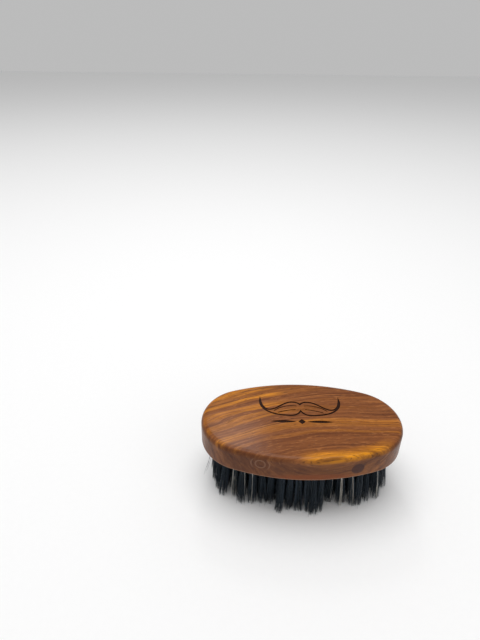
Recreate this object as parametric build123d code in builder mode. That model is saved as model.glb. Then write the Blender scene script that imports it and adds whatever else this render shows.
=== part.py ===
from build123d import *
import math
import os

# An oval beard brush for one hand: a one-piece wooden back, drilled from below,
# with rows of folded bristle tufts, each held in its hole by a flat-wire anchor.
# +X runs along the brush, +Z is up, and the brush stands on its bristle tips.
# The origin is on the surface it stands on, below the middle of the back.

os.makedirs("parts", exist_ok=True)

# ---------------------------------------------------------------- the back
back_length = 115.0
back_width = 64.0
back_thickness = 15.0
end_radius = 26.5           # the two tight arcs of the four-arc oval
top_roundover = 3.2
rim_chamfer = 0.5           # the lower edge, broken by sanding
hole_radius = 1.4
hole_depth = 9.0

# -------------------------------------------------------------- the bristles
bristle_reach = 30.0        # from the wood to the trimmed tips
tuft_pitch = 5.3            # between neighbouring holes of a row
field_inset = 8.5           # from the side of the back to the outermost hole centres
row_count = 11
splay_along = 0.03          # how far each tip stands out past its root, per mm from the middle
splay_across = 0.20
tip_radius = 2.2
fold_gap = 0.5              # air between the fold of a tuft and the end of its hole
fold_round = 0.5

# --------------------------------------------------------------- the anchors
anchor_height = 1.8
anchor_thickness = 0.35
anchor_bite = 0.35          # how far each end cuts into the wood
fold_thickness = 0.6        # bristle that passes over the deep edge

# -------------------------------------------------------------- the ornament
engraving_depth = 0.35
outline_stroke = 1.1
hair_stroke = 0.6
moustache_span = 47.0
moustache_height = 13.0
moustache_offset = 7.5      # from the middle line of the back towards its far side
leaf_offset = -3.0
leaf_length = 15.0
leaf_bulge = 1.0
diamond_size = 3.0

# ---------------------------------------------------------------- worked out
row_pitch = tuft_pitch * math.sqrt(3) / 2
under_side = bristle_reach
top_side = under_side + back_thickness
half_length = back_length / 2
half_width = back_width / 2
end_centre = half_length - end_radius
side_radius = (end_centre**2 + half_width**2 - end_radius**2) / (2 * (half_width - end_radius))
side_centre = side_radius - half_width
fold_top = under_side + hole_depth - fold_gap
anchor_low = fold_top - fold_thickness - anchor_height
anchor_length = 2 * (hole_radius + anchor_bite)


def reach_of_field(y):
    """Half the length of the bristle field, at the distance y from the middle line."""
    end_arc = end_radius - field_inset
    side_arc = side_radius - field_inset
    arcs_meet = end_arc * side_centre / math.hypot(side_centre, end_centre)
    if abs(y) < arcs_meet:
        return end_centre + math.sqrt(end_arc**2 - y**2)
    return math.sqrt(side_arc**2 - (abs(y) + side_centre) ** 2)


def hole_centres(row):
    """The holes of one row, counted from the front and evenly spaced between its ends.

    Odd and even numbers of holes alternate from row to row, which staggers them.
    """
    from_middle = row - (row_count - 1) // 2
    y = from_middle * row_pitch
    reach = reach_of_field(y)
    odd_gap = from_middle % 2
    gaps = 2 * round((2 * reach / tuft_pitch - odd_gap) / 2) + odd_gap
    return [(reach * (2 * hole / gaps - 1), y) for hole in range(gaps + 1)]


def on_moustache(across, up):
    """A point of the moustache, as shares of its span and of its height."""
    return (across * moustache_span, moustache_offset + up * moustache_height)


rows = [hole_centres(row) for row in range(row_count)]
all_holes = [centre for row in rows for centre in row]

# -------------------------------------------------------------- wooden back
with BuildPart() as wooden_back:
    with BuildSketch(Plane.XY.offset(under_side)):
        with BuildLine():
            end_turn = math.degrees(math.atan2(side_centre, end_centre))
            side_turn = 180 - 2 * end_turn
            CenterArc((end_centre, 0), end_radius, -end_turn, 2 * end_turn)
            CenterArc((0, -side_centre), side_radius, end_turn, side_turn)
            CenterArc((-end_centre, 0), end_radius, 180 - end_turn, 2 * end_turn)
            CenterArc((0, side_centre), side_radius, 180 + end_turn, side_turn)
        make_face()
    extrude(amount=back_thickness)
    fillet(wooden_back.faces().sort_by(Axis.Z)[-1].edges(), radius=top_roundover)
    chamfer(wooden_back.faces().sort_by(Axis.Z)[0].edges(), length=rim_chamfer)

    # Blind holes for the tufts, drilled from below.
    with BuildSketch(Plane.XY.offset(under_side)):
        with Locations(*all_holes):
            Circle(hole_radius)
    extrude(amount=hole_depth, mode=Mode.SUBTRACT)

    # The cuts that the anchors' ends bite into the walls of the holes.
    with BuildSketch(Plane.XY.offset(anchor_low)):
        with Locations(*all_holes):
            Rectangle(anchor_length, anchor_thickness)
    extrude(amount=anchor_height, mode=Mode.SUBTRACT)

    # Engraved outline of a handlebar moustache.
    with BuildSketch(Plane.XY.offset(top_side)):
        with BuildLine():
            Spline(
                on_moustache(0, 0.30),
                on_moustache(0.13, 0.44),
                on_moustache(0.33, 0),
                on_moustache(0.50, 0.60),
                tangents=((0.7, 1), (0.15, 1)),
            )
            Spline(
                on_moustache(0.50, 0.60),
                on_moustache(0.385, -0.22),
                on_moustache(0.17, -0.42),
                on_moustache(0, -0.14),
                tangents=((0.15, -1), (-0.6, 1)),
            )
            mirror(about=Plane.YZ)
        trace(line_width=outline_stroke)
    extrude(amount=-engraving_depth, mode=Mode.SUBTRACT)

    # Its hairs: two strokes in each half, which follow the curl.
    with BuildSketch(Plane.XY.offset(top_side)):
        with BuildLine():
            Spline(
                on_moustache(0.045, 0.20),
                on_moustache(0.15, 0.20),
                on_moustache(0.33, -0.13),
            )
            Spline(
                on_moustache(0.06, -0.04),
                on_moustache(0.15, -0.09),
                on_moustache(0.28, -0.24),
            )
            mirror(about=Plane.YZ)
        trace(line_width=hair_stroke)
    extrude(amount=-engraving_depth, mode=Mode.SUBTRACT)

    # Below the moustache, a diamond between two slim leaves.
    with BuildSketch(Plane.XY.offset(top_side)):
        with Locations((0, leaf_offset)):
            Rectangle(diamond_size, diamond_size, rotation=45)
        with BuildLine():
            leaf_start = (diamond_size, leaf_offset)
            leaf_end = (diamond_size + leaf_length, leaf_offset)
            SagittaArc(leaf_start, leaf_end, leaf_bulge)
            SagittaArc(leaf_end, leaf_start, leaf_bulge)
        make_face()
        mirror(about=Plane.YZ)
    extrude(amount=-engraving_depth, mode=Mode.SUBTRACT)
wooden_back.part.label = "wooden_back"
export_step(wooden_back.part, "parts/wooden_back.step")

# ------------------------------------------- rows of tufts and their anchors
for number, centres in enumerate(rows, start=1):
    with BuildPart() as tufts:
        # The shanks, which fill their holes up to the fold.
        with BuildSketch(Plane.XY.offset(under_side)):
            with Locations(*centres):
                Circle(hole_radius)
        extrude(amount=fold_top - under_side)
        fillet(tufts.faces().group_by(Axis.Z)[-1].edges(), radius=fold_round)

        # The slots that the anchors pass through, inside the fold.
        with BuildSketch(Plane.XY.offset(anchor_low)):
            with Locations(*centres):
                Rectangle(anchor_length, anchor_thickness)
        extrude(amount=anchor_height, mode=Mode.SUBTRACT)

        # Below the wood each tuft flares and leans outwards, mostly to the long sides.
        for x, y in centres:
            with BuildSketch(Plane.XY.offset(under_side)):
                with Locations((x, y)):
                    Circle(hole_radius)
            with BuildSketch(Plane.XY):
                with Locations((x * (1 + splay_along), y * (1 + splay_across))):
                    Circle(tip_radius)
            loft()
    tufts.part.label = f"bristle_row_{number:02d}"
    export_step(tufts.part, f"parts/{tufts.part.label}.step")

    with BuildPart() as anchors:
        with BuildSketch(Plane.XY.offset(anchor_low)):
            with Locations(*centres):
                Rectangle(anchor_length, anchor_thickness)
        extrude(amount=anchor_height)
    anchors.part.label = f"anchor_row_{number:02d}"
    export_step(anchors.part, f"parts/{anchors.part.label}.step")
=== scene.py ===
import math
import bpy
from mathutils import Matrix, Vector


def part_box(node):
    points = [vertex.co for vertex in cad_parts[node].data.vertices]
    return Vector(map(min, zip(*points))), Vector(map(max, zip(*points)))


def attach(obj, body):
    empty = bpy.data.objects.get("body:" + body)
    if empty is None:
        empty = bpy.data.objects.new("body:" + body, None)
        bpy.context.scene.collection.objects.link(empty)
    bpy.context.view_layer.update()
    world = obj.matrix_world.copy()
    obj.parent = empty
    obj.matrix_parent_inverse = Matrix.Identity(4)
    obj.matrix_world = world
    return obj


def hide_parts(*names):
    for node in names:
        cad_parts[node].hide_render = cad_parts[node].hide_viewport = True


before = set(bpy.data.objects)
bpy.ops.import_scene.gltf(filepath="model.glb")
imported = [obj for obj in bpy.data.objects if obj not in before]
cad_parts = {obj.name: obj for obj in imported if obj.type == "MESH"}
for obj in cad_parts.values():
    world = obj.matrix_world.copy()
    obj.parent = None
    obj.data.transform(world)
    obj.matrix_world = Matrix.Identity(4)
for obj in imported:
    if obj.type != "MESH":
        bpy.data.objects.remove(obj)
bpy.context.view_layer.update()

from types import SimpleNamespace

import bmesh
import bpy
import numpy as np
from mathutils import Matrix, Vector

# An oval beard brush standing on its bristle tips. The wooden back and the anchors are the
# frame's own meshes. Each plain tuft of the frame is replaced by a bundle of separate bristles.

MM = 0.001
BACK = "wooden_back"
BACK_LOW, BACK_HIGH = (Vector(corner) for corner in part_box(BACK))
UNDERSIDE = BACK_LOW.z
TOP = BACK_HIGH.z
BRISTLE_ROWS = sorted(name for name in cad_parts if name.startswith("bristle_row"))
ANCHOR_ROWS = sorted(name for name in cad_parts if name.startswith("anchor_row"))


# ---------------------------------------------------------------- shader helpers
class Recipe:
    """A material built node by node. Each method returns the socket of what it made."""

    def __init__(self, name):
        self.material = bpy.data.materials.new(name)
        self.material.use_nodes = True
        self.tree = self.material.node_tree
        self.surface = self.tree.nodes["Principled BSDF"]

    def node(self, kind, inputs=None, output=0, **settings):
        made = self.tree.nodes.new(kind)
        for key, value in settings.items():
            setattr(made, key, value)
        for key, value in (inputs or {}).items():
            self.feed(made.inputs[key], value)
        return made.outputs[output]

    def feed(self, socket, value):
        if isinstance(value, bpy.types.NodeSocket):
            self.tree.links.new(value, socket)
        else:
            socket.default_value = value

    def math(self, operation, a, b=0.0, c=0.0):
        return self.node("ShaderNodeMath", {0: a, 1: b, 2: c}, operation=operation)

    def vector(self, operation, a, b=(0, 0, 0), output=0):
        return self.node("ShaderNodeVectorMath", {0: a, 1: b}, output, operation=operation)

    def place(self):
        """The point being shaded, in metres from the origin of the frame."""
        return self.node("ShaderNodeTexCoord", output=3)

    def axes(self, point):
        """The X, Y and Z of a point."""
        split = self.tree.nodes.new("ShaderNodeSeparateXYZ")
        self.feed(split.inputs[0], point)
        return tuple(split.outputs)

    def noise(self, point, scale, detail=2.0, roughness=0.5, output=0):
        """Noise stretched by its scale along X, Y and Z, each in cycles per metre."""
        stretched = self.vector("MULTIPLY", point, scale)
        inputs = {"Vector": stretched, "Scale": 1.0, "Detail": detail, "Roughness": roughness}
        return self.node("ShaderNodeTexNoise", inputs, output)

    def ramp(self, value, low, high, out_low=0.0, out_high=1.0):
        """A smooth step from low to high."""
        reach = {"From Min": low, "From Max": high, "To Min": out_low, "To Max": out_high}
        inputs = {"Value": value, **reach}
        return self.node("ShaderNodeMapRange", inputs, interpolation_type="SMOOTHSTEP")

    def mix(self, factor, a, b, blend="MIX"):
        made = self.tree.nodes.new("ShaderNodeMix")
        made.data_type = "RGBA"
        made.blend_type = blend
        self.feed(made.inputs[0], factor)
        self.feed(made.inputs[6], a)
        self.feed(made.inputs[7], b)
        return made.outputs[2]

    def blob(self, point, centre, size):
        """1 at the centre of a soft ellipsoid, falling to 0 at its surface."""
        away = self.vector("DIVIDE", self.vector("SUBTRACT", point, centre), size)
        length = self.vector("LENGTH", away, output=1)
        return self.ramp(length, 1.0, 0.0)

    def bump(self, height, distance, strength):
        inputs = {"Height": height, "Distance": distance, "Strength": strength}
        return self.node("ShaderNodeBump", inputs)

    def finish(self, **inputs):
        for key, value in inputs.items():
            self.feed(self.surface.inputs[key.replace("_", " ")], value)
        return self.material


def paint(obj, material):
    obj.data.materials.clear()
    obj.data.materials.append(material)


# ---------------------------------------------------------------- wood: places and colours
PITH_Y = 75 * MM            # the middle of the tree, beyond the far side of the back
PITH_Z = -10 * MM
RADIAN_LENGTH = 22 * MM     # what one radian round the pith counts for in the grain
YEAR_RING = 2.1 * MM
LEVEL_FROM = 35 * MM        # left of here the grain climbs towards the far side
CLIMB = 2.7                 # how steeply, per metre
WANDER = 8 * MM
KNOT_PUSH = 3 * MM
OVAL_POWER = 2.3            # of the superellipse that follows the outline of the back

SWIRL = Vector((-24.4, -30.5, 39.2)) * MM
SWIRL_SIZE = Vector((8.0, 8.0, 5.6)) * MM
SWIRL_TURN = 2.3 * MM       # from one of its pale rings to the next
DARK_KNOT = Vector((28.0, -29.0, 36.2)) * MM
DARK_KNOT_SIZE = Vector((5.4, 6.0, 5.0)) * MM
LEFT_SAPWOOD = Vector((-40, 12, 45)) * MM
LEFT_SAPWOOD_SIZE = Vector((50, 32, 20)) * MM
RED_PATCH = Vector((6, -32, 30.5)) * MM
RED_PATCH_SIZE = Vector((34, 8, 6)) * MM
ENGRAVING = Vector((0, 5 * MM, TOP))
ENGRAVING_SIZE = Vector((36, 24, 4)) * MM

HEARTWOOD_DARK = (0.215, 0.078, 0.025, 1)
HEARTWOOD_LIGHT = (0.345, 0.140, 0.046, 1)
STREAK_BROWN = (0.135, 0.044, 0.015, 1)
LATE_WOOD = (0.105, 0.032, 0.012, 1)
SAPWOOD_DARK = (0.40, 0.150, 0.014, 1)
SAPWOOD_LIGHT = (0.70, 0.290, 0.020, 1)
SAPWOOD_BRIGHT = (0.80, 0.350, 0.012, 1)
LINE_BROWN = (0.080, 0.024, 0.010, 1)
FIBRE_BROWN = (0.120, 0.040, 0.014, 1)
FLECK_BUFF = (0.58, 0.270, 0.100, 1)
PORE_BLACK = (0.040, 0.014, 0.007, 1)
# painted grey sheen of reflected surroundings, then painted shade, both for the side
SIDE_SHEEN_GREY = (0.120, 0.062, 0.042, 1)
SIDE_PAINTED_SHADE = (0.50, 0.45, 0.47, 1)
SIDE_RED = (0.210, 0.058, 0.016, 1)
SWIRL_PALE = (0.30, 0.175, 0.120, 1)
KNOT_BROWN = (0.050, 0.017, 0.014, 1)
# painted highlight along the lower rim
RIM_HIGHLIGHT = (0.42, 0.270, 0.200, 1)
SCORCHED_BLACK = (0.022, 0.007, 0.003, 1)
LACQUER_TINT = (1.0, 0.88, 0.76, 1)


# ---------------------------------------------------------------- wood: grain
def grain_space(r, place, knots):
    """The distance from the pith, and the point as (along the fibres, from the pith, round it)."""
    x, y, z = r.axes(place)

    # From the left end the grain climbs to the far side, and levels out right of the middle.
    left_of = r.math("MAXIMUM", r.math("SUBTRACT", LEVEL_FROM, x), 0.0)
    climb = r.math("MULTIPLY", r.math("POWER", left_of, 2.0), CLIMB)
    wander_y, wander_z, _ = r.axes(r.noise(place, (14, 34, 34), 2.0, output=1))
    wander_y = r.math("SUBTRACT", wander_y, 0.5)
    wander_z = r.math("SUBTRACT", wander_z, 0.5)
    grain_y = r.math("MULTIPLY_ADD", wander_y, WANDER, r.math("ADD", y, climb))
    grain_z = r.math("MULTIPLY_ADD", wander_z, WANDER, z)
    grain_z = r.math("MULTIPLY_ADD", knots, KNOT_PUSH, grain_z)

    from_pith_y = r.math("SUBTRACT", grain_y, PITH_Y)
    from_pith_z = r.math("SUBTRACT", grain_z, PITH_Z)
    from_pith = r.node("ShaderNodeCombineXYZ", {0: 0.0, 1: from_pith_y, 2: from_pith_z})
    radius = r.vector("LENGTH", from_pith, output=1)
    arc = r.math("MULTIPLY", r.math("ARCTAN2", from_pith_z, from_pith_y), RADIAN_LENGTH)
    return radius, r.node("ShaderNodeCombineXYZ", {0: x, 1: radius, 2: arc})


def wood_patterns(r, grain):
    """Noises drawn out along the grain, from broad bands down to the pores."""
    return SimpleNamespace(
        broad=r.noise(grain, (6, 130, 130), 3.0, 0.55),
        streaks=r.noise(grain, (10, 520, 520), 4.0, 0.62),
        lines=r.noise(grain, (7, 900, 900), 2.0, 0.5),
        fibres=r.noise(grain, (70, 1900, 1900), 3.0, 0.6),
        flecks=r.noise(grain, (190, 1300, 1300), 2.0, 0.6),
        pores=r.ramp(r.noise(grain, (300, 4200, 4200), 1.0), 0.62, 0.70),
    )


def late_wood(r, radius):
    """1 in the dark outer part of each year ring."""
    ring = r.math("FRACT", r.math("DIVIDE", radius, YEAR_RING))
    return r.math("MULTIPLY", r.math("POWER", ring, 2.2), r.ramp(ring, 1.0, 0.88))


def heartwood(r, radius, patterns):
    """Orange-brown bands, darker streaks and year rings."""
    colour = r.mix(r.ramp(patterns.broad, 0.32, 0.68), HEARTWOOD_DARK, HEARTWOOD_LIGHT)
    colour = r.mix(r.ramp(patterns.streaks, 0.60, 0.38, 0.0, 0.60), colour, STREAK_BROWN)
    return r.mix(r.math("MULTIPLY", late_wood(r, radius), 0.45), colour, LATE_WOOD)


# ---------------------------------------------------------------- wood: sapwood
def from_front_edge(r, x, y):
    """How far a point lies inside the front edge of the oval, taken as a superellipse."""
    along = r.math("MINIMUM", r.math("DIVIDE", r.math("ABSOLUTE", x), BACK_HIGH.x), 1.0)
    rest = r.math("SUBTRACT", 1.0, r.math("POWER", along, OVAL_POWER))
    edge = r.math("MULTIPLY", r.math("POWER", rest, 1 / OVAL_POWER), BACK_HIGH.y)
    return r.math("ADD", y, edge)


def sapwood_places(r, place, grain):
    """Where golden sapwood shows (front edge, far left, a few streaks), and its brightest strip."""
    x, y, _ = r.axes(place)
    inside = from_front_edge(r, x, y)
    right_start = r.ramp(x, -6 * MM, 10 * MM)
    right_half = r.math("MULTIPLY", right_start, r.ramp(x, 50 * MM, 34 * MM))
    front = r.math("MULTIPLY", right_half, r.ramp(inside, 9.0 * MM, 4.5 * MM))
    strip = r.math("MULTIPLY", right_half, r.ramp(inside, 5.2 * MM, 2.8 * MM))
    left = r.ramp(r.blob(place, LEFT_SAPWOOD, LEFT_SAPWOOD_SIZE), 0.0, 0.6)
    broken = r.ramp(r.noise(grain, (6, 230, 230), 3.0), 0.46, 0.60)
    scattered = r.ramp(r.noise(grain, (4, 190, 190), 3.0), 0.50, 0.66, 0.0, 0.55)
    sap = r.math("MAXIMUM", r.math("MULTIPLY", left, broken), scattered)
    return r.math("MAXIMUM", sap, front), strip


def add_sapwood(r, place, grain, patterns, colour):
    """Golden sapwood, most of it on the top, where it fades out down the rounded edge."""
    z = r.axes(place)[2]
    edge_foot = TOP - 3.8 * MM
    gold = r.mix(r.ramp(patterns.streaks, 0.36, 0.62), SAPWOOD_DARK, SAPWOOD_LIGHT)
    sap, brightest = sapwood_places(r, place, grain)
    sap = r.math("MULTIPLY", sap, r.ramp(z, edge_foot, TOP - 1.0 * MM, 0.15, 0.9))
    brightest = r.math("MULTIPLY", brightest, r.ramp(z, edge_foot, TOP - 1.4 * MM))
    colour = r.mix(sap, colour, gold)
    return r.mix(r.math("MULTIPLY", brightest, 0.65), colour, SAPWOOD_BRIGHT)


# ---------------------------------------------------------------- wood: surface
def add_fine_figure(r, patterns, colour):
    """Dark lines and fibres, buff flecks and black pores."""
    colour = r.mix(r.ramp(patterns.lines, 0.56, 0.66, 0.0, 0.60), colour, LINE_BROWN)
    colour = r.mix(r.ramp(patterns.fibres, 0.60, 0.38, 0.0, 0.40), colour, FIBRE_BROWN)
    colour = r.mix(r.ramp(patterns.flecks, 0.54, 0.72, 0.0, 0.28), colour, FLECK_BUFF)
    return r.mix(r.math("MULTIPLY", patterns.pores, 0.55), colour, PORE_BLACK)


def paint_side_shade_and_sheen(r, place, patterns, colour):
    """Painted shade and a painted grey sheen of the reflected surroundings make the side darker and
    greyer than the top; it is also redder low down in the middle.
    """
    z = r.axes(place)[2]
    side = r.ramp(z, TOP - 0.4 * MM, TOP - 1.2 * MM, 0.0, 0.85)
    side_shade_and_sheen = r.mix(0.35, colour, SIDE_SHEEN_GREY)
    # painted shade, stronger or weaker with the broad grain bands
    side_shade_and_sheen = r.mix(r.ramp(patterns.broad, 0.35, 0.65, 0.75, 0.25), side_shade_and_sheen, SIDE_PAINTED_SHADE, "MULTIPLY")
    colour = r.mix(side, colour, side_shade_and_sheen)
    red = r.ramp(r.blob(place, RED_PATCH, RED_PATCH_SIZE), 0.0, 0.5, 0.0, 0.75)
    return r.mix(red, colour, SIDE_RED)


def add_knots(r, place, swirl, dark_knot, colour):
    """Two knots in the front: one of pale rings, one dark and sharply bounded."""
    reach = r.vector("DISTANCE", place, SWIRL, output=1)
    turns = r.math("SINE", r.math("MULTIPLY", reach, 2 * math.pi / SWIRL_TURN))
    pale_turns = r.math("MULTIPLY", r.ramp(turns, 0.1, 0.9), r.ramp(swirl, 0.05, 0.3, 0.0, 0.4))
    colour = r.mix(pale_turns, colour, SWIRL_PALE)
    return r.mix(r.ramp(dark_knot, 0.18, 0.30, 0.0, 0.85), colour, KNOT_BROWN)


def paint_rim_highlight(r, place, colour):
    """A painted highlight along the lower rim, where its small chamfer would catch the light,
    though not on the underside.
    """
    z = r.axes(place)[2]
    off_underside = r.ramp(z, UNDERSIDE + 0.04 * MM, UNDERSIDE + 0.14 * MM)
    rim = r.math("MULTIPLY", off_underside, r.ramp(z, UNDERSIDE + 1.1 * MM, UNDERSIDE + 0.6 * MM))
    return r.mix(r.math("MULTIPLY", rim, 0.6), colour, RIM_HIGHLIGHT)


def engraved_places(r, place):
    """1 in the engraving: just under the top, and away from the rounded edge."""
    z = r.axes(place)[2]
    below_top = r.ramp(z, TOP - 0.03 * MM, TOP - 0.12 * MM)
    near = r.blob(place, ENGRAVING, ENGRAVING_SIZE)
    return r.math("MULTIPLY", below_top, r.ramp(near, 0.02, 0.10))


def wood():
    """Satin-lacquered orange-brown hardwood with golden sapwood and two small knots."""
    r = Recipe("hardwood")
    place = r.place()
    swirl = r.blob(place, SWIRL, SWIRL_SIZE)
    dark_knot = r.blob(place, DARK_KNOT, DARK_KNOT_SIZE)
    radius, grain = grain_space(r, place, r.math("MAXIMUM", swirl, dark_knot))
    patterns = wood_patterns(r, grain)
    scorched = engraved_places(r, place)

    colour = heartwood(r, radius, patterns)
    colour = add_sapwood(r, place, grain, patterns, colour)
    colour = add_fine_figure(r, patterns, colour)
    # painted shade and a painted grey sheen on the side
    colour = paint_side_shade_and_sheen(r, place, patterns, colour)
    colour = add_knots(r, place, swirl, dark_knot, colour)
    # painted highlight on the lower rim
    colour = paint_rim_highlight(r, place, colour)
    colour = r.mix(scorched, colour, SCORCHED_BLACK)
    colour = r.mix(1.0, colour, LACQUER_TINT, "MULTIPLY")

    roughness = r.ramp(patterns.streaks, 0.3, 0.7, 0.44, 0.34)
    roughness = r.math("MAXIMUM", roughness, r.math("MULTIPLY", scorched, 0.95))
    relief = r.math("MULTIPLY_ADD", patterns.flecks, 0.8, r.math("MULTIPLY", patterns.fibres, 0.4))
    relief = r.math("SUBTRACT", relief, patterns.pores)
    normal = r.bump(relief, 0.08 * MM, 0.40)
    return r.finish(Base_Color=colour, Roughness=roughness, Normal=normal, Specular_IOR_Level=0.06,
                    Coat_Weight=0.24, Coat_Roughness=0.17, Coat_IOR=1.45)


# ---------------------------------------------------------------- other materials
def bristle():
    """Black natural bristle with a cool sheen, and here and there a pale one."""
    r = Recipe("natural_bristle")
    strand = r.node("ShaderNodeAttribute", attribute_name="strand")
    tone, along, pale = r.axes(strand)
    flecks = r.noise(r.place(), (900, 900, 160), 2.0)
    black = r.mix(r.math("POWER", tone, 3.0), (0.0015, 0.003, 0.005, 1), (0.040, 0.062, 0.095, 1))
    black = r.mix(r.math("MULTIPLY", flecks, along), black, (0.014, 0.018, 0.024, 1))
    blond = r.mix(flecks, (0.70, 0.62, 0.50, 1), (0.95, 0.92, 0.85, 1))
    colour = r.mix(pale, black, blond)
    roughness = r.ramp(flecks, 0.3, 0.7, 0.26, 0.42)
    return r.finish(Base_Color=colour, Roughness=roughness, Specular_Tint=(0.70, 0.86, 1.0, 1))


def flat_wire():
    """Bright drawn steel wire."""
    r = Recipe("flat_wire_steel")
    drawn = r.noise(r.place(), (400, 9000, 9000), 3.0)
    colour = r.mix(drawn, (0.42, 0.42, 0.43, 1), (0.66, 0.66, 0.67, 1))
    roughness = r.ramp(drawn, 0.3, 0.7, 0.25, 0.42)
    normal = r.bump(drawn, 0.02 * MM, 0.4)
    return r.finish(Base_Color=colour, Metallic=1.0, Roughness=roughness, Normal=normal)


def floor_paper():
    """Plain pale seamless paper."""
    r = Recipe("pale_paper")
    tooth = r.noise(r.place(), (300, 300, 300), 3.0)
    colour = r.mix(tooth, (0.90, 0.90, 0.90, 1), (0.92, 0.92, 0.92, 1))
    return r.finish(Base_Color=colour, Roughness=0.9)


# ---------------------------------------------------------------- bristles
FIRST_SEED = 100            # each row adds its own number to it
STRANDS_PER_TUFT = 130
STRAND_SIDES = 3
STRAND_RINGS = 8
STRAND_RADIUS = (0.085 * MM, 0.13 * MM)
STRAND_TAPER = 0.7          # the share of its radius that a bristle loses by its tip
STRAND_BOW = 0.35 * MM
STRAND_CURVE = 0.25         # the share of its sideways travel that comes late, towards the tip
ROOT_RADIUS = 1.30 * MM
ROOT_DEPTH = 1.5 * MM       # how far up the hole the bristles are drawn
TIP_SPREAD = 2.85 * MM
TIP_JITTER = 0.42 * MM
TUFT_LEAN = 0.95 * MM       # how far the tips of a whole tuft stray together
CLUMPS_PER_TUFT = 9
CLUMP_FIELD = 0.86          # the share of the spread that the clumps lie in
CLUMP_PULL = 0.45
CLUMP_CUT = 0.6 * MM        # how unevenly the clumps are trimmed, and then each bristle
STRAND_CUT = 0.45 * MM
SHORT_SHARE = 0.08
SHORT_BY = (0.8 * MM, 4.5 * MM)
STRAY_SHARE = 0.04
STRAY_REACH = 3.2 * MM
PALE_SHARE = 0.004

# A few pale bristles stand out at the front: how far along the brush, and how many together.
PALE_GROUPS = ((-37 * MM, 4), (-29 * MM, 1), (21 * MM, 3), (25 * MM, 1), (43 * MM, 3))
PALE_GROUP_REACH = 2.8 * MM
PALE_THICKER = 1.35

# Two bristles of one row are thrown out to the left, well past the rest of their tuft.
STRAY_ROW = BRISTLE_ROWS[4]
STRAY_TONE = 0.9
STRAY_ENDS = ((-56.5 * MM, -9.0 * MM, 6.5 * MM), (-55.5 * MM, -6.0 * MM, 5.0 * MM))


def islands(mesh):
    """The points of each connected part of a mesh."""
    unseen = set(mesh.verts)
    while unseen:
        stack = [unseen.pop()]
        points = []
        while stack:
            vertex = stack.pop()
            points.append(vertex.co.copy())
            for edge in vertex.link_edges:
                other = edge.other_vert(vertex)
                if other in unseen:
                    unseen.remove(other)
                    stack.append(other)
        yield np.array(points)


def tufts_of(node):
    """(middle of the mouth, middle of the tips) of each tuft in a CAD row, from left to right."""
    mesh = bmesh.new()
    mesh.from_mesh(node.data)
    bmesh.ops.remove_doubles(mesh, verts=mesh.verts, dist=1e-6)
    found = []
    for points in islands(mesh):
        ends = []
        for height in (UNDERSIDE, 0.0):
            ring = points[np.abs(points[:, 2] - height) < 0.01 * MM]
            ends.append((ring.min(axis=0) + ring.max(axis=0)) / 2)
        found.append(ends)
    mesh.free()
    return sorted(found, key=lambda ends: ends[0][0])


def in_disc(rng, count, radius):
    """Points spread evenly over a disc."""
    reach = radius * np.sqrt(rng.random(count))
    turn = rng.random(count) * 2 * math.pi
    return np.stack([reach * np.cos(turn), reach * np.sin(turn)], axis=1)


def strands_of_tuft(rng, mouth, tips):
    """Roots, ends, bows, radii, tones and paleness of the bristles of one tuft."""
    count = STRANDS_PER_TUFT
    from_root = in_disc(rng, count, ROOT_RADIUS)
    tips = tips[:2] + rng.normal(0, TUFT_LEAN, 2)
    roots = np.column_stack([mouth[:2] + from_root, np.full(count, mouth[2])])

    # Each bristle keeps its place in the bundle as it spreads, and leans to the nearest clump.
    spread = from_root / ROOT_RADIUS * TIP_SPREAD + rng.normal(0, TIP_JITTER, (count, 2))
    clumps = in_disc(rng, CLUMPS_PER_TUFT, TIP_SPREAD * CLUMP_FIELD)
    clump_cut = rng.uniform(0, CLUMP_CUT, CLUMPS_PER_TUFT)
    nearest = np.argmin(np.linalg.norm(spread[:, None] - clumps[None], axis=2), axis=1)
    ends = tips + spread + (clumps[nearest] - spread) * CLUMP_PULL

    # The trim leaves them a little uneven, and some fall short.
    height = clump_cut[nearest] + np.abs(rng.normal(0, STRAND_CUT, count))
    short = rng.random(count) < SHORT_SHARE
    height[short] += rng.uniform(*SHORT_BY, short.sum())
    stray = rng.random(count) < STRAY_SHARE
    ends[stray] += in_disc(rng, stray.sum(), STRAY_REACH)
    ends = np.column_stack([ends, height])

    bows = rng.normal(0, STRAND_BOW, (count, 2))
    radii = rng.uniform(*STRAND_RADIUS, count)
    tone = rng.random(count)
    pale = (rng.random(count) < PALE_SHARE).astype(float)
    return roots, ends, bows, radii, tone, pale


def whiten_the_front(tuft, mouth, groups):
    """Turns a few front bristles pale, if the tuft is the foremost one at a group's place."""
    _, ends, _, radii, _, pale = tuft
    for group in [group for group in groups if abs(mouth[0] - group[0]) < PALE_GROUP_REACH]:
        every_fourth = np.argsort(ends[:, 1])[:4 * group[1]:4]
        pale[every_fourth] = 1
        radii[every_fourth] *= PALE_THICKER
        groups.remove(group)


def throw_out_strays(tuft):
    """Sends the leftmost bristles of a tuft to the places kept for the strays."""
    _, ends, _, _, tone, _ = tuft
    leftmost = np.argsort(ends[:, 0])[:len(STRAY_ENDS)]
    ends[leftmost] = STRAY_ENDS
    tone[leftmost] = STRAY_TONE


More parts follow.
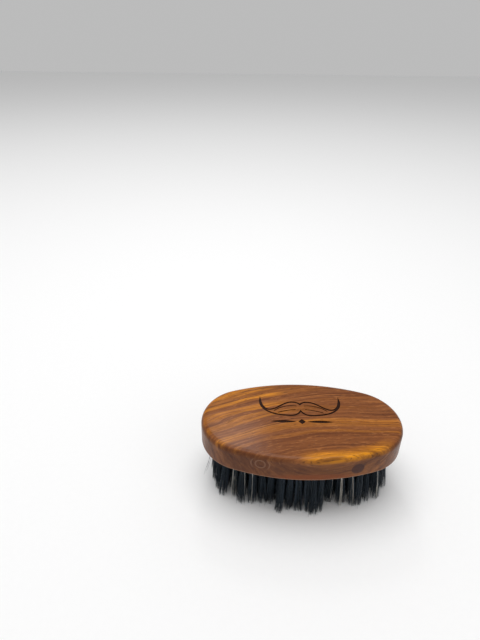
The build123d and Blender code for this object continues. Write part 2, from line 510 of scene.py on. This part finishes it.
def strand_points(roots, ends, bows, radii, along):
    """The corners of each bristle, ring by ring from its root to its tapered tip."""
    lean = (1 - STRAND_CURVE) * along + STRAND_CURVE * along**2
    bow = np.sin(math.pi * along) * along
    centre = np.empty((len(roots), STRAND_RINGS, 3))
    side = ends[:, :2] - roots[:, :2]
    centre[..., :2] = roots[:, None, :2] + side[:, None] * lean[None, :, None]
    centre[..., :2] += bows[:, None] * bow[None, :, None]
    start = roots[:, 2] + ROOT_DEPTH
    centre[..., 2] = start[:, None] + (ends[:, 2] - start)[:, None] * along

    turn = np.arange(STRAND_SIDES) * 2 * math.pi / STRAND_SIDES
    ring = np.stack([np.cos(turn), np.sin(turn), 0 * turn], axis=1)
    width = radii[:, None] * (1 - STRAND_TAPER * along**4)[None]
    return centre[:, :, None, :] + width[:, :, None, None] * ring[None, None]


def strand_faces(count):
    """The sides and the two end caps of each bristle."""
    sides = []
    for step in range(STRAND_RINGS - 1):
        for corner in range(STRAND_SIDES):
            a = step * STRAND_SIDES + corner
            b = step * STRAND_SIDES + (corner + 1) % STRAND_SIDES
            sides.append((a, a + STRAND_SIDES, b + STRAND_SIDES, b))
    first = np.arange(STRAND_SIDES)
    last = (STRAND_RINGS - 1) * STRAND_SIDES + first[::-1]
    offsets = np.arange(count)[:, None, None] * STRAND_RINGS * STRAND_SIDES
    quads = (np.array(sides)[None] + offsets).reshape(-1, 4)
    caps = (np.array([first, last])[None] + offsets).reshape(-1, STRAND_SIDES)
    return quads.tolist() + caps.tolist()


def strand_mesh(name, roots, ends, bows, radii, tone, pale):
    """One mesh of thin tapered prisms, one for each bristle."""
    count = len(roots)
    along = np.linspace(0, 1, STRAND_RINGS)
    points = strand_points(roots, ends, bows, radii, along).reshape(-1, 3)
    mesh = bpy.data.meshes.new(name)
    mesh.from_pydata(points.tolist(), [], strand_faces(count))
    mesh.polygons.foreach_set("use_smooth", [True] * len(mesh.polygons))

    # What the bristle material reads: tone, the share of the way to the tip, and paleness.
    facts = np.empty((count, STRAND_RINGS, STRAND_SIDES, 3), np.float32)
    facts[..., 0] = tone[:, None, None]
    facts[..., 1] = along[None, :, None]
    facts[..., 2] = pale[:, None, None]
    layer = mesh.attributes.new("strand", "FLOAT_VECTOR", "POINT")
    layer.data.foreach_set("vector", facts.ravel())
    mesh.update()
    return mesh


def make_bristles(material):
    pale_groups = list(PALE_GROUPS)
    for number, node_name in enumerate(BRISTLE_ROWS, start=1):
        rng = np.random.default_rng(FIRST_SEED + number)
        tufts = []
        for mouth, tips in tufts_of(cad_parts[node_name]):
            tufts.append(strands_of_tuft(rng, mouth, tips))
            whiten_the_front(tufts[-1], mouth, pale_groups)
        if node_name == STRAY_ROW:
            throw_out_strays(tufts[0])
        parts = [np.concatenate(part) for part in zip(*tufts)]
        name = f"bristles_{number:02d}"
        piece = bpy.data.objects.new(name, strand_mesh(name, *parts))
        bpy.context.scene.collection.objects.link(piece)
        paint(piece, material)
        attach(piece, "root")
        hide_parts(node_name)


# ---------------------------------------------------------------- studio
def make_floor():
    bpy.ops.mesh.primitive_plane_add(size=6.0, location=(0, 0, 0))
    floor = bpy.context.object
    floor.name = "floor"
    paint(floor, floor_paper())


def area_light(name, place, target, size, power):
    data = bpy.data.lights.new(name, "AREA")
    data.shape = "RECTANGLE"
    data.size, data.size_y = size
    data.energy = power
    light = bpy.data.objects.new(name, data)
    light.location = place
    light.rotation_euler = (Vector(target) - Vector(place)).to_track_quat("-Z", "Y").to_euler()
    bpy.context.scene.collection.objects.link(light)


def make_lights():
    """White surroundings, a soft key overhead, a weak fill, and a glint on the left of the top."""
    world = bpy.data.worlds.new("studio")
    world.use_nodes = True
    background = world.node_tree.nodes["Background"]
    background.inputs["Color"].default_value = (1, 1, 1, 1)
    background.inputs["Strength"].default_value = 0.50
    bpy.context.scene.world = world
    middle = (0, 0, 0.03)
    area_light("key", (-0.15, 0.15, 1.50), middle, (1.2, 1.2), 14.5)
    area_light("fill", (0.6, -0.5, 0.5), middle, (0.6, 0.5), 0.5)
    area_light("glint", (-0.045, 0.40, 0.49), (-0.036, -0.024, 0.045), (0.09, 0.09), 0.20)


def make_camera():
    data = bpy.data.cameras.new("camera")
    data.lens = 27.0
    data.sensor_width = 36.0
    data.clip_start = 0.01
    camera = bpy.data.objects.new("camera", data)
    forward = Vector((-0.0075, 0.8539, -0.5204)).normalized()
    up = Vector((-0.0159, 0.5202, 0.8539))
    right = forward.cross(up).normalized()
    up = right.cross(forward)
    turn = Matrix((right, up, -forward)).transposed()
    camera.matrix_world = Matrix.Translation((-0.0341, -0.2060, 0.2355)) @ turn.to_4x4()
    bpy.context.scene.collection.objects.link(camera)
    bpy.context.scene.camera = camera


bpy.context.scene.view_settings.view_transform = "Standard"
make_camera()
make_lights()
make_floor()
paint(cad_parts[BACK], wood())
wire = flat_wire()
for row in ANCHOR_ROWS:
    paint(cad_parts[row], wire)
make_bristles(bristle())
